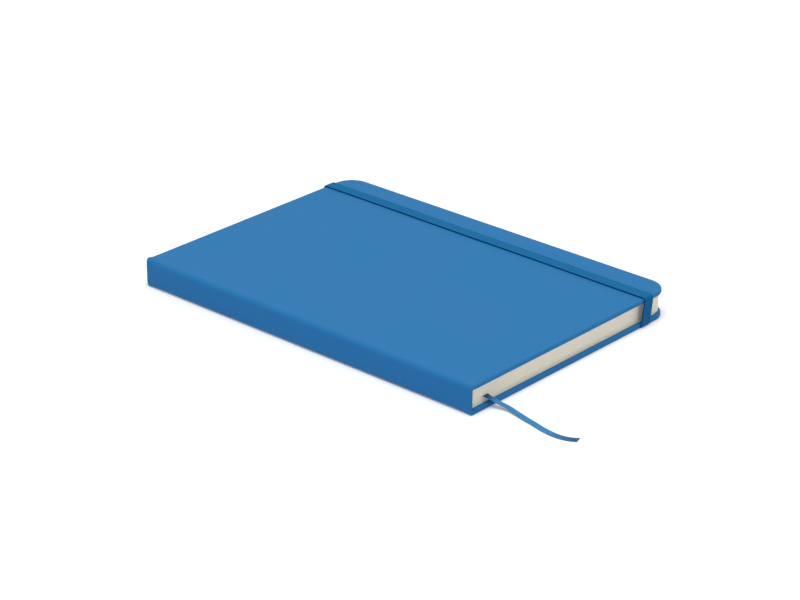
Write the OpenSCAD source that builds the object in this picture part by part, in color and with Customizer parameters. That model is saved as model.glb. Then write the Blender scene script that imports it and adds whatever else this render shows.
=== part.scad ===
// A5 notebook, case bound: two boards and a spine card in one faux leather skin,
// a glued page block between folded endpapers, an elastic closure band and a ribbon marker.
// It lies on its back cover. +X runs from the spine to the fore edge, +Y to the head, +Z up.

/* [Pages] */
// Height of a leaf, from head to tail
page_h = 205; // [150:1:290]
// Width of a leaf, from its glued back to the fore edge
page_w = 143.6; // [100:0.1:210]
// Thickness of the pressed block of leaves
pages_t = 9.4; // [5:0.1:30]
// Radius of the leaves' two fore-edge corners
page_corner_r = 5.5; // [4:0.5:14]
// Thickness of one endpaper sheet
endpaper_t = 0.2; // [0.1:0.05:0.4]

/* [Cover] */
// How far the covers stand out past the leaves at the head, tail and fore edge
square_w = 2.5; // [1.5:0.1:4]
// Thickness of the faux leather skin
skin_t = 0.6; // [0.4:0.1:1]
// Thickness of the greyboard
board_t = 1.6; // [1.4:0.1:3]
// Radius of the covers' two fore-edge corners
corner_r = 11; // [8:0.5:13]
// Radius of the covers' rounded outer edges
edge_r = 0.8; // [0.4:0.1:1.1]
// Width of the skin that is turned in over the board
turn_in_w = 14; // [8:1:18]
// Thickness of the turned-in skin where an endpaper covers it
turn_in_t = 0.4; // [0.2:0.05:0.5]
// Margin of turned-in skin left bare round an endpaper
endpaper_margin = 2; // [1:0.5:5]

/* [Spine] */
// Radius of the spine's two long outer edges
spine_r = 2.5; // [2.2:0.1:2.8]
// Depth of the hinge line behind the outer faces of spine and cover
hinge_depth = 1.25; // [1.1:0.05:1.3]
// Clearance between a cover folded right back and the spine
fold_gap = 0.3; // [0.25:0.05:0.6]
// Width of the hinge line left open between spine and cover
hinge_slit = 0.7; // [0.65:0.05:0.9]
// Thickness of the card that stiffens the spine
stiffener_t = 0.3; // [0.2:0.05:0.4]
// Thickness of the spine skin where it is turned in at head and tail
spine_turn_t = 0.3; // [0.2:0.05:0.35]
// Thickness of the lining glued on the back of the leaves
lining_t = 0.3; // [0.2:0.05:0.4]
// Distance from the spine's outer face to the back of the leaves
block_start = 1.9; // [1.85:0.05:2.2]

/* [Elastic band] */
// Width of the elastic band
band_w = 6.6; // [4:0.1:12]
// Thickness of the elastic band
band_t = 0.8; // [0.5:0.05:0.85]
// Middle of the band from the fore edge, on the front cover
band_inset = 17.5; // [14:0.5:30]
// Middle of the band's two slots from the fore edge, in the back cover
slot_inset = 20; // [14:0.5:30]
// Distance of each slot from the head and tail edges
slot_edge = 11; // [8:0.5:20]
// Length of each glued end under the endpaper
tab_len = 12; // [6:1:25]
// Clearance round the band
band_gap = 0.05; // [0.03:0.01:0.1]

/* [Ribbon marker] */
// Width of the ribbon
ribbon_w = 3.5; // [3:0.1:4]
// Thickness of the ribbon
ribbon_t = 0.24; // [0.16:0.02:0.26]
// Clearance round the ribbon between the leaves
ribbon_gap = 0.12; // [0.08:0.01:0.2]
// Height of the ribbon's parting above the lowest leaf
parting_up = 2.8; // [2:0.1:3.2]

/* [Hidden] */
$fn = 48;
// Slack that cutters reach past a face
eps = 0.5;
cover_t = skin_t + board_t + endpaper_t;
total_t = pages_t + 2 * endpaper_t + 2 * cover_t;
total_h = page_h + 2 * square_w;
total_w = block_start + page_w + square_w;
// Outer face of the spine, and the fore edge of the covers
spine_x = -total_w / 2;
fore_x = total_w / 2;
block_x = spine_x + block_start;
block_z = cover_t + endpaper_t;
parting_z = block_z + parting_up;
// Where the stiff covers begin and where the spine's own skin ends, from the spine's outer face
panel_start = 2 * hinge_depth + fold_gap;
spine_skin_end = panel_start - hinge_slit;
panel_w = total_w - panel_start;

// Sizes of the elastic band's path
band_x = fore_x - band_inset;
slot_x = fore_x - slot_inset;
slot_y = total_h / 2 - slot_edge;
bend_r = edge_r + band_gap + band_t / 2;
slot_bend_r = 0.6;
tab_z = skin_t + board_t - band_gap - band_t / 2;
recess_z = band_t + band_gap;
// Slack at the ends of the slots and of the glued ends' beds
slot_slack = 0.1;
bend_steps = 6;

// The ribbon's route by hand. It starts glued on the spine lining, folds over the head of the
// leaves, runs between them to the tail and lies on the table. Every x is from the leaves' glued
// back, and the turn is the ribbon's own about its line, 0 lying flat and 90 standing on its edge.
// Over the head: x, y from the head of the leaves, z from the parting, turn
head_route = [
    [-0.46, -20.5, 1.9, 90],
    [-0.46, -10.5, 1.9, 90],
    [-0.46, 0.3, 1.9, 90],
    [-0.1, 1.1, 1.8, 90],
    [1.1, 1.6, 1.6, 90],
    [2.6, 1.6, 1.2, 80],
    [3.8, 1.4, 0.7, 50],
    [4.4, 1, 0.2, 20],
    [4.6, 0.4, 0, 0]
];
// Between the leaves: x, and y as a share of the leaves' height, from the tail
leaf_route = [
    [5.3, 0.89],
    [6.1, 0.74],
    [6.9, 0.6],
    [7.7, 0.45],
    [8.5, 0.3],
    [9.5, 0.16],
    [10.3, 0.04],
    [10.7, 0]
];
// Out of the tail and along the table: x, y from the tail of the leaves, z above the table, turn
tail_route = [
    [11.1, -1.7, 4.8, 0],
    [11.9, -3.2, 3.9, 0],
    [12.6, -4.6, 3.2, -1],
    [13, -6.1, 2.7, -3],
    [13.4, -7.6, 2.2, -5],
    [13.8, -9.2, 1.8, -6],
    [14.05, -11.5, 1.3, -7],
    [13.65, -14.9, 0.8, -6],
    [12.95, -18.7, 0.5, -4],
    [12, -23.1, 0.3, -2],
    [11.05, -28.1, 0.2, 0],
    [9.75, -33.6, 0.2, 0],
    [9.1, -37.9, 0.2, 0],
    [8.9, -41.5, 0.2, 0],
    [9.2, -44.9, 0.2, 0],
    [10, -47.9, 0.2, 0],
    [11.2, -50.3, 0.2, 0],
    [12.4, -51.9, 0.2, 0]
];
head_points = [for (p = head_route) [block_x + p[0], page_h / 2 + p[1], parting_z + p[2], p[3]]];
leaf_points = [for (p = leaf_route) [block_x + p[0], (p[1] - 0.5) * page_h, parting_z, 0]];
tail_points = [for (p = tail_route) [block_x + p[0], p[1] - page_h / 2, p[2], p[3]]];
ribbon_points = concat(head_points, leaf_points, tail_points);

function unit(v) = v / norm(v);
function place(p) = [p[0], p[1], p[2]];
// Direction of a route at point i, from its neighbours
function heading(route, i) =
    unit(place(route[min(i + 1, len(route) - 1)]) - place(route[max(i - 1, 0)]));
function flat_across(d) = unit(cross([0, 0, 1], d));
function turned(d, turn) = flat_across(d) * cos(turn) + cross(d, flat_across(d)) * sin(turn);

// A strap of width w and thickness t along rings of [middle, direction across, direction up]
module strap(rings, w, t) {
    n = len(rings);
    // Eight points round each ring: a flat strip with softened edges
    ring = [[-1, -0.4], [-0.94, -1], [0.94, -1], [1, -0.4], [1, 0.4], [0.94, 1], [-0.94, 1], [-1, 0.4]];
    k = len(ring);
    points = [for (r = rings, q = ring) r[0] + r[1] * q[0] * w / 2 + r[2] * q[1] * t / 2];
    sides = [for (i = [0:n - 2], j = [0:k - 1])
        [i * k + j, (i + 1) * k + j, (i + 1) * k + (j + 1) % k, i * k + (j + 1) % k]];
    split = [for (f = sides) each [[f[0], f[1], f[2]], [f[0], f[2], f[3]]]];
    first = [for (j = [0:k - 1]) j];
    last = [for (j = [k - 1:-1:0]) (n - 1) * k + j];
    polyhedron(points = points, faces = concat(split, [first, last]), convexity = 10);
}

// Half of a cover's edge section, rounded on its outer side, reaching in by the corner radius
module edge_section() {
    square([corner_r - edge_r, cover_t]);
    translate([0, edge_r]) square([corner_r, cover_t - 2 * edge_r]);
    translate([corner_r - edge_r, edge_r]) circle(edge_r);
    translate([corner_r - edge_r, cover_t - edge_r]) circle(edge_r);
}

// Both the head end and its mirror image at the tail
module both_ends() {
    children();
    mirror([0, 1, 0]) children();
}

// A whole cover lying with its outer face down: rounded edges and two round corners
module cover_form() {
    side_y = total_h / 2 - corner_r;
    side_x = fore_x - corner_r;
    panel_x = spine_x + panel_start;
    translate([panel_x, -side_y, 0]) cube([side_x - panel_x, 2 * side_y, cover_t]);
    translate([side_x, side_y, 0]) rotate([90, 0, 0]) linear_extrude(2 * side_y) edge_section();
    both_ends() {
        translate([panel_x, side_y, 0])
            rotate([90, 0, 90]) linear_extrude(side_x - panel_x) edge_section();
        translate([side_x, side_y, 0]) rotate_extrude(angle = 90) edge_section();
    }
}

// A flat plate over the cover's plan, drawn in by a margin on its three free edges
module cover_plate(inset, z0, z1) {
    r = corner_r - inset;
    x0 = spine_x + panel_start;
    translate([0, 0, z0]) linear_extrude(z1 - z0) {
        translate([x0, -total_h / 2 + inset]) square([fore_x - corner_r - x0, total_h - 2 * inset]);
        translate([x0, -total_h / 2 + corner_r]) square([fore_x - inset - x0, total_h - 2 * corner_r]);
        for (s = [-1, 1])
            translate([fore_x - corner_r, s * (total_h / 2 - corner_r)]) circle(r);
    }
}

// The board, thinned along its three free edges for the turned-in skin
module board_form() {
    cover_plate(skin_t, skin_t, skin_t + board_t - turn_in_t);
    core_x0 = spine_x + panel_start;
    core_h = total_h - 2 * turn_in_w;
    translate([core_x0, -core_h / 2, skin_t])
        cube([panel_w - turn_in_w, core_h, board_t]);
}

module pastedown_form() {
    cover_plate(endpaper_margin, skin_t + board_t, cover_t);
}

module skin_form() {
    difference() {
        cover_form();
        board_form();
        pastedown_form();
        // Bare board under the pastedown, inside the turned-in skin
        core_h = total_h - 2 * turn_in_w;
        translate([spine_x + panel_start - eps, -core_h / 2, skin_t])
            cube([panel_w - turn_in_w + eps, core_h, board_t + endpaper_t + eps]);
    }
}

// The shallow bed in the back cover's outer face that takes the band's stub, grown by a wall
module stub_bed(wall) {
    half = band_w / 2 + band_gap + wall;
    depth = recess_z + wall;
    start_y = slot_y - band_t / 2 - band_gap - wall;
    round_y = total_h / 2 - edge_r;
    both_ends() translate([slot_x - half, 0, 0]) rotate([90, 0, 90]) linear_extrude(2 * half)
        difference() {
            translate([start_y, -eps]) square([total_h / 2 + eps - start_y, depth + edge_r + eps]);
            translate([start_y - eps, depth]) square([round_y - start_y + eps, edge_r + 2 * eps]);
            translate([round_y, depth + edge_r]) circle(edge_r);
        }
}

// The slots right through the back cover, and the shallow beds of the glued ends
module band_slots() {
    half = band_w / 2 + band_gap;
    open_y = band_t / 2 + band_gap + slot_slack;
    bed_z = tab_z - band_t / 2 - band_gap;
    bed_y = slot_y - slot_bend_r - tab_len - slot_slack;
    both_ends() {
        translate([slot_x - half, slot_y - open_y, -eps])
            cube([2 * half, 2 * open_y, skin_t + board_t + eps]);
        translate([slot_x - half, bed_y, bed_z])
            cube([2 * half, slot_y - bed_y, skin_t + board_t - bed_z]);
    }
}

module as_front() {
    translate([0, 0, total_t]) mirror([0, 0, 1]) children();
}

module front_skin() {
    color([0.23, 0.49, 0.71]) as_front() skin_form();
}

module front_board() {
    color([0.55, 0.52, 0.47]) as_front() board_form();
}

module front_pastedown() {
    color([0.93, 0.91, 0.84]) as_front() pastedown_form();
}

module back_skin() {
    color([0.23, 0.49, 0.71]) difference() {
        skin_form();
        stub_bed(0);
        band_slots();
    }
}

module back_board() {
    color([0.55, 0.52, 0.47]) difference() {
        board_form();
        stub_bed(skin_t);
        band_slots();
    }
}

module back_pastedown() {
    color([0.93, 0.91, 0.84]) pastedown_form();
}

// Section of the spine's skin, x from its outer face and y up from the table
module spine_section(t, far) {
    difference() {
        spine_outline(0, far);
        spine_outline(t, far + eps);
    }
}

// Outline of the spine drawn in by t: straight back, two round edges, open towards the leaves
module spine_outline(t, far) {
    r = spine_r - t;
    intersection() {
        translate([t, t]) square([far - t, total_t - 2 * t]);
        union() {
            translate([t, spine_r]) square([far, total_t - 2 * spine_r]);
            translate([spine_r, t]) square([far, total_t - 2 * t]);
            for (z = [spine_r, total_t - spine_r]) translate([spine_r, z]) circle(r);
        }
    }
}

module along_spine(length) {
    translate([spine_x, length / 2, 0]) rotate([90, 0, 0]) linear_extrude(length) children();
}

module stiffener_form(grow) {
    translate([spine_x + skin_t, -total_h / 2 + skin_t, spine_r])
        cube([stiffener_t + grow, total_h - 2 * skin_t, total_t - 2 * spine_r]);
}

module spine_skin() {
    turn_x = skin_t + stiffener_t;
    color([0.16, 0.42, 0.65]) {
        along_spine(total_h) spine_section(skin_t, spine_skin_end);
        difference() {
            // The card's own height, filled from the skin to the turned-in layer
            translate([spine_x + skin_t, -total_h / 2, spine_r])
                cube([stiffener_t + spine_turn_t, total_h, total_t - 2 * spine_r]);
            stiffener_form(0);
            translate([spine_x + turn_x, -total_h / 2 + turn_in_w, 0])
                cube([spine_turn_t + eps, total_h - 2 * turn_in_w, total_t]);
        }
    }
}

module spine_stiffener() {
    color([0.7, 0.67, 0.6]) stiffener_form(0);
}

module spine_lining() {
    color([0.9, 0.88, 0.8])
        translate([block_x - lining_t, -page_h / 2, cover_t])
            cube([lining_t, page_h, pages_t + 2 * endpaper_t]);
}

// Plan of a leaf: square at its glued back, round at its two fore corners
module leaf_plan() {
    r = page_corner_r;
    translate([block_x, -page_h / 2]) square([page_w - r, page_h]);
    translate([block_x, -page_h / 2 + r]) square([page_w, page_h - 2 * r]);
    for (s = [-1, 1]) translate([block_x + page_w - r, s * (page_h / 2 - r)]) circle(r);
}

// The parting between the leaves that the ribbon lies in, cut past their head and tail
module ribbon_slit() {
    half = ribbon_w / 2 + ribbon_gap;
    depth = ribbon_t + 2 * ribbon_gap;
    first = head_points[len(head_points) - 1];
    last = leaf_points[len(leaf_points) - 1];
    line = concat(
        [[first[0], page_h / 2 + eps]],
        [for (p = leaf_points) [p[0], p[1]]],
        [[last[0], -page_h / 2 - eps]]
    );
    left = [for (p = line) [p[0] - half, p[1]]];
    right = [for (i = [len(line) - 1:-1:0]) [line[i][0] + half, line[i][1]]];
    translate([0, 0, parting_z - depth / 2]) linear_extrude(depth) polygon(concat(left, right));
}

module page_block() {
    color([0.9, 0.87, 0.78]) difference() {
        translate([0, 0, block_z]) linear_extrude(pages_t) leaf_plan();
        ribbon_slit();
    }
}

module front_flyleaf() {
    color([0.93, 0.91, 0.84])
        translate([0, 0, block_z + pages_t]) linear_extrude(endpaper_t) leaf_plan();
}

module back_flyleaf() {
    color([0.93, 0.91, 0.84]) translate([0, 0, cover_t]) linear_extrude(endpaper_t) leaf_plan();
}

// Points of a bend in the band's side view: middle, radius, first and last angle
function bend(y, z, r, a0, a1) =
    [for (i = [0:bend_steps]) let (a = a0 + (a1 - a0) * i / bend_steps) [y + r * cos(a), z + r * sin(a), a]];

// The band's side view from the middle of the front cover to one glued end.
// Each point holds y, z, the angle of the way out of the loop there, and x.
function half_band() =
    let (
        edge_y = total_h / 2 - edge_r,
        low_z = recess_z + edge_r,
        over = [for (p = bend(edge_y, total_t - edge_r, bend_r, 90, 0)) concat(p, band_x)],
        under = [for (p = bend(edge_y, low_z, bend_r, 0, -90)) concat(p, slot_x)],
        rise = [for (p = bend(slot_y + slot_bend_r, band_t / 2 + slot_bend_r, slot_bend_r, 270, 180))
            [p[0], p[1], p[2] - 360, slot_x]],
        settle = [for (p = bend(slot_y - slot_bend_r, tab_z - slot_bend_r, slot_bend_r, 0, 90))
            [p[0], p[1], p[2] - 180, slot_x]],
        tab = [[slot_y - slot_bend_r - tab_len, tab_z, -90, slot_x]]
    )
    concat(over, under, rise, settle, tab);

module elastic_band() {
    half = half_band();
    n = len(half);
    rings = concat(
        [for (i = [n - 1:-1:0]) let (p = half[i]) [[p[3], -p[0], p[1]], [-1, 0, 0], [0, -cos(p[2]), sin(p[2])]]],
        [for (p = half) [[p[3], p[0], p[1]], [-1, 0, 0], [0, cos(p[2]), sin(p[2])]]]
    );
    color([0.09, 0.36, 0.58]) strap(rings, band_w, band_t);
}

module ribbon_marker() {
    rings = [for (i = [0:len(ribbon_points) - 1])
        let (d = heading(ribbon_points, i), a = turned(d, ribbon_points[i][3]))
            [place(ribbon_points[i]), a, cross(d, a)]];
    color([0.3, 0.56, 0.83]) strap(rings, ribbon_w, ribbon_t);
}

front_skin();
front_board();
front_pastedown();
back_skin();
back_board();
back_pastedown();
spine_skin();
spine_stiffener();
spine_lining();
page_block();
front_flyleaf();
back_flyleaf();
elastic_band();
ribbon_marker();
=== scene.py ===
"""The looks of a closed notebook in soft faux leather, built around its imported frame.

Sizes inside the classes are in millimetres, in the frame's own axes: +X from the spine to the
fore edge, +Y to the head, +Z up. A mesh is scaled to metres when it is made.
"""

from __future__ import annotations

import logging
import math
from dataclasses import dataclass, field
from enum import Enum
from typing import Sequence, Union

import bmesh
import bpy
import numpy as np
from mathutils import Matrix, Vector


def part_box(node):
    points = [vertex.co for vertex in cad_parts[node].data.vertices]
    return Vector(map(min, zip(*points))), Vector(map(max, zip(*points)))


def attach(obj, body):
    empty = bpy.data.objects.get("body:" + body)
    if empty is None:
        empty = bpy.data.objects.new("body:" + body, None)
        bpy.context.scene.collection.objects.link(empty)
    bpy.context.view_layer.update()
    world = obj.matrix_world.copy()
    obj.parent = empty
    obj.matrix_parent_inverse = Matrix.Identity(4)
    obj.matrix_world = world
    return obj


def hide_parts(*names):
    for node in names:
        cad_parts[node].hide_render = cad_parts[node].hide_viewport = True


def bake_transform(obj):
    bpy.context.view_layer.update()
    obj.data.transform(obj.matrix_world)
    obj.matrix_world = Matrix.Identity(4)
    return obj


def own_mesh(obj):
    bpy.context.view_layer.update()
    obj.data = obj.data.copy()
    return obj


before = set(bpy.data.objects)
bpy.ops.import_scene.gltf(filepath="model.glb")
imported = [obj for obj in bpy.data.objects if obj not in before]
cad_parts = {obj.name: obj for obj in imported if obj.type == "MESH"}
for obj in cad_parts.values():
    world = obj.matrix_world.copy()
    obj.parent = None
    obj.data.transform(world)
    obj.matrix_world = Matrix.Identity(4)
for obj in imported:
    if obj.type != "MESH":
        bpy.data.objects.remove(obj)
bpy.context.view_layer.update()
LOG = logging.getLogger("notebook")
MM = 0.001
TINY = 0.01
WHITE = (1, 1, 1, 1)


class Slot(Enum):
    """The material slots."""

    LEATHER = "faux_leather"
    BOARD = "greyboard"
    ENDPAPER = "endpaper"
    PAGES = "page_paper"
    LINING = "lining"
    ELASTIC = "elastic"
    RIBBON = "ribbon"


class Side(Enum):
    """The two covers, by the body that carries each."""

    FRONT = "front_cover"
    BACK = "back_cover"

    def bend(self, piece: bpy.types.Object, block_x: float, cover_x: float) -> None:
        """Bakes a piece's placement into its mesh; it does not bend the piece across this cover's hinge.

        The two places in millimetres, where it leaves the block and where it is flat on the cover, are put in
        order with the front cover's first, but nothing uses them.

        Args:
            piece: the piece that reaches over the hinge.
            block_x: where it leaves the block.
            cover_x: where it is flat on the cover.
        """
        ends = [("block", (block_x * MM, 0, 0)), (self.value, (cover_x * MM, 0, 0))]
        if self is Side.FRONT:
            ends.reverse()
        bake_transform(piece)


Number = Union[float, int, "Wire"]


class Wire:
    """A node's output that Python's own signs can calculate with."""

    def __init__(self, maker: "NodeMaker", socket: bpy.types.NodeSocket) -> None:
        """Wraps one output socket of a node tree."""
        self.maker = maker
        self.socket = socket

    def __add__(self, other: Number) -> "Wire":
        """self + other."""
        return self.maker.math("ADD", self, other)

    def __radd__(self, other: Number) -> "Wire":
        """other + self."""
        return self.maker.math("ADD", other, self)

    def __sub__(self, other: Number) -> "Wire":
        """self - other."""
        return self.maker.math("SUBTRACT", self, other)

    def __rsub__(self, other: Number) -> "Wire":
        """other - self."""
        return self.maker.math("SUBTRACT", other, self)

    def __mul__(self, other: Number) -> "Wire":
        """self times other."""
        return self.maker.math("MULTIPLY", self, other)

    def __rmul__(self, other: Number) -> "Wire":
        """other times self."""
        return self.maker.math("MULTIPLY", other, self)

    def __truediv__(self, other: Number) -> "Wire":
        """self over other."""
        return self.maker.math("DIVIDE", self, other)

    def __mod__(self, other: Number) -> "Wire":
        """The rest of self over other."""
        return self.maker.math("FLOORED_MODULO", self, other)

    def __pow__(self, other: Number) -> "Wire":
        """self to the power of other."""
        return self.maker.math("POWER", self, other)


class NodeMaker:
    """Makes the nodes of one tree. Materials and geometry trees share it."""

    def __init__(self, tree: bpy.types.NodeTree) -> None:
        """Takes the tree that the nodes go into."""
        self.tree = tree

    def node(self, kind: str, settings: dict | None = None, inputs: dict | None = None) -> bpy.types.Node:
        """Makes any node.

        Args:
            kind: the node's Blender type.
            settings: its own settings, which are set first.
            inputs: values or wires by the name or index of its sockets.

        Returns:
            The new node.
        """
        made = self.tree.nodes.new(kind)
        for name, value in (settings or {}).items():
            setattr(made, name, value)
        for name, value in (inputs or {}).items():
            self._feed(self._input(made, name), value)
        return made

    def _input(self, made: bpy.types.Node, name: str | int) -> bpy.types.NodeSocket:
        """The node's input of that index, or its first one in use of that name."""
        named = (s for s in made.inputs if s.name == name and s.enabled)
        return made.inputs[name] if isinstance(name, int) else next(named)

    def _feed(self, socket: bpy.types.NodeSocket, value: object) -> None:
        """Gives a socket what it reads.

        Args:
            socket: the input.
            value: a wire or a list of wires to link to it, or the value to set.
        """
        for one in value if isinstance(value, list) else [value]:
            if isinstance(one, Wire):
                self.tree.links.new(one.socket, socket)
            else:
                socket.default_value = one

    def out(self, made: bpy.types.Node, name: str | int = 0) -> Wire:
        """A node's output as a wire, by its index or its name."""
        live = [s for s in made.outputs if s.enabled]
        return Wire(self, live[name] if isinstance(name, int) else next(s for s in live if s.name == name))

    def wire(self, kind: str, settings: dict | None = None, inputs: dict | None = None,
             output: str | int = 0) -> Wire:
        """Makes a node as node() does, and returns one of its outputs."""
        return self.out(self.node(kind, settings, inputs), output)

    def math(self, operation: str, *values: Number) -> Wire:
        """A Math node on up to three values."""
        return self.wire("ShaderNodeMath", {"operation": operation}, dict(enumerate(values)))

    def split(self, vector: Wire) -> tuple[Wire, Wire, Wire]:
        """The three parts of a vector."""
        made = self.node("ShaderNodeSeparateXYZ", inputs={0: vector})
        return self.out(made, 0), self.out(made, 1), self.out(made, 2)

    def join(self, x: Number, y: Number, z: Number) -> Wire:
        """A vector from its three parts."""
        return self.wire("ShaderNodeCombineXYZ", inputs={0: x, 1: y, 2: z})


class Paint(NodeMaker):
    """A material in the making, on object coordinates in metres."""

    def __init__(self, name: str, slot: Slot) -> None:
        """Starts a material with a bare surface shader."""
        self.material = bpy.data.materials.new(name)
        self.material.use_nodes = True
        super().__init__(self.material.node_tree)
        self.slot = slot
        self.tree.nodes.clear()
        self.shader = self.node("ShaderNodeBsdfPrincipled")
        self.node("ShaderNodeOutputMaterial", inputs={"Surface": self.out(self.shader)})

    def place(self, stretch: Sequence[float] = (1, 1, 1)) -> Wire:
        """Object coordinates, stretched along each axis."""
        at = self.wire("ShaderNodeTexCoord", output="Object")
        return self.wire("ShaderNodeMapping", inputs={"Vector": at, "Scale": tuple(stretch)})

    def attribute(self, name: str) -> Wire:
        """A number that the mesh carries."""
        return self.wire("ShaderNodeAttribute", {"attribute_name": name}, output="Fac")

    def noise(self, at: Wire, grain: float, detail: float = 2.0) -> Wire:
        """Soft noise from 0 to 1 whose blots are about grain metres wide."""
        return self.wire("ShaderNodeTexNoise", inputs={"Vector": at, "Scale": 1 / grain, "Detail": detail})

    def wave(self, turn: Wire) -> Wire:
        """A wave between 0 and 1 that is 1 at every whole turn, from an angle in radians."""
        return self.math("COSINE", turn) * 0.5 + 0.5

    def blend(self, part: Number, first: object, second: object) -> Wire:
        """A colour between first and second, each a colour or a wire."""
        pair = [one if isinstance(one, Wire) else (*one, 1.0) for one in (first, second)]
        return self.wire("ShaderNodeMix", {"data_type": "RGBA"}, {0: part, 6: pair[0], 7: pair[1]}, 0)

    def raise_by(self, height: Wire, depth: float, strength: float) -> Wire:
        """A normal bent by a height from 0 to 1 that stands for depth metres."""
        return self.wire("ShaderNodeBump", inputs={"Height": height, "Distance": depth, "Strength": strength})

    def finish(self, colour: object, roughness: Number, normal: Wire | None = None,
               **fixed: float) -> bpy.types.Material:
        """Feeds the shader and returns the material.

        Args:
            colour: a wire or a colour.
            roughness: a wire or a number.
            normal: the bent normal.
            fixed: plain numbers for the shader's other sockets, with _ for a space.

        Returns:
            The finished material.
        """
        self._feed(self.shader.inputs["Base Color"], colour if isinstance(colour, Wire) else (*colour, 1.0))
        self._feed(self.shader.inputs["Roughness"], roughness)
        if normal is not None:
            self._feed(self.shader.inputs["Normal"], normal)
        for name, value in fixed.items():
            self.shader.inputs[name.replace("_", " ")].default_value = value
        return self.material


@dataclass(frozen=True)
class SoftLeather:
    """Matte, soft-touch faux leather with a fine pebble grain, polished at its edges, with painted shade on
    its steep faces.
    """

    deep: tuple = (0.006, 0.158, 0.393)
    pale: tuple = (0.008, 0.171, 0.415)
    rubbed: tuple = (0.017, 0.195, 0.450)
    # painted shade for the steep faces of spine and edges
    steep_shade: tuple = (0.001, 0.147, 0.404)
    pebble: float = 0.00055
    fine_share: float = 1.7
    blot: float = 0.035
    rub_blot: float = 0.004
    rub_share: float = 0.35
    grain_depth: float = 0.00015

    def paint(self) -> bpy.types.Material:
        """Builds the material.

        Returns:
            The leather, whose mesh notes "rub" and "steep".
        """
        p = Paint("soft_leather", Slot.LEATHER)
        at = p.place()
        blots = p.noise(at, self.blot, detail=3.0)
        fine = p.noise(at, self.pebble * self.fine_share, detail=3.0)
        pebbles = p.wire("ShaderNodeTexVoronoi", {"feature": "SMOOTH_F1"},
                         {"Vector": at, "Scale": 1 / self.pebble, "Smoothness": 0.6}, "Distance")
        rub = p.attribute("rub") * p.noise(at, self.rub_blot, detail=4.0)
        colour = p.blend(blots, self.deep, self.pale)
        colour = p.blend(rub * self.rub_share, colour, self.rubbed)
        # Painted shade: steep faces, such as the spine and the edges, take a deeper blue for the way light
        # falls on them.
        colour = p.blend(p.attribute("steep"), colour, self.steep_shade)
        normal = p.raise_by(pebbles * 0.7 + fine * 0.3, self.grain_depth, 0.5)
        roughness = 0.6 + 0.1 * blots - 0.08 * rub
        return p.finish(colour, roughness, normal, Specular_IOR_Level=0.3)


@dataclass(frozen=True)
class LeafEdges:
    """Cream leaves pressed together, seen at their cut edges."""

    paper: tuple = (0.98, 0.925, 0.775)
    shade: tuple = (0.90, 0.835, 0.665)
    line: float = 0.00022
    line_stretch: tuple = (0.004, 0.004, 1)
    bundle: float = 0.0011
    bundle_stretch: tuple = (0.01, 0.01, 1)
    fibre: float = 0.0006
    relief: float = 0.00004

    def paint(self) -> bpy.types.Material:
        """Builds the material.

        Returns:
            The leaves' edges, with lines that lie level on every side.
        """
        p = Paint("leaf_edges", Slot.PAGES)
        lines = p.noise(p.place(self.line_stretch), self.line)
        bundles = p.noise(p.place(self.bundle_stretch), self.bundle, detail=1.0)
        fibres = p.noise(p.place(), self.fibre, detail=3.0)
        streak = p.math("SMOOTH_MIN", lines * 0.75 + bundles * 0.35, 1.0, 0.1)
        colour = p.blend(0.25 + streak * 0.6 + fibres * 0.12, self.shade, self.paper)
        normal = p.raise_by(lines, self.relief, 0.5)
        return p.finish(colour, 0.85 + 0.1 * fibres, normal, Specular_IOR_Level=0.2)


@dataclass(frozen=True)
class FlatPaper:
    """A sheet of plain cream paper with short fibres."""

    pale: tuple = (0.84, 0.81, 0.70)
    warm: tuple = (0.78, 0.74, 0.62)
    fibre: float = 0.0005
    fibre_stretch: tuple = (1, 0.35, 1)
    cloud: float = 0.012
    relief: float = 0.00003

    def paint(self) -> bpy.types.Material:
        """Builds the material.

        Returns:
            The endpapers' sheet.
        """
        p = Paint("endpaper_sheet", Slot.ENDPAPER)
        fibres = p.noise(p.place(self.fibre_stretch), self.fibre, detail=5.0)
        clouds = p.noise(p.place(), self.cloud, detail=3.0)
        colour = p.blend(0.25 + clouds * 0.4 + fibres * 0.25, self.warm, self.pale)
        normal = p.raise_by(fibres, self.relief, 0.4)
        return p.finish(colour, 0.82 + 0.12 * fibres, normal, Specular_IOR_Level=0.25)


@dataclass(frozen=True)
class Greyboard:
    """Dense grey-brown board with flecks of recycled fibre."""

    base: tuple = (0.29, 0.26, 0.215)
    light: tuple = (0.36, 0.33, 0.28)
    fleck: tuple = (0.16, 0.14, 0.12)
    pulp: float = 0.0012
    layer: float = 0.0003
    layer_stretch: tuple = (0.05, 0.05, 1)
    speck: float = 0.0004
    speck_above: float = 0.66
    relief: float = 0.00006

    def paint(self) -> bpy.types.Material:
        """Builds the material.

        Returns:
            The board that stiffens covers and spine.
        """
        p = Paint("greyboard_sheet", Slot.BOARD)
        pulp = p.noise(p.place(), self.pulp, detail=6.0)
        layers = p.noise(p.place(self.layer_stretch), self.layer)
        flecks = p.math("GREATER_THAN", p.noise(p.place(), self.speck), self.speck_above)
        colour = p.blend(flecks * 0.5, p.blend(pulp, self.base, self.light), self.fleck)
        normal = p.raise_by(pulp * 0.6 + layers * 0.4, self.relief, 0.5)
        return p.finish(colour, 0.9 + 0.08 * pulp, normal, Specular_IOR_Level=0.2)


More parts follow.
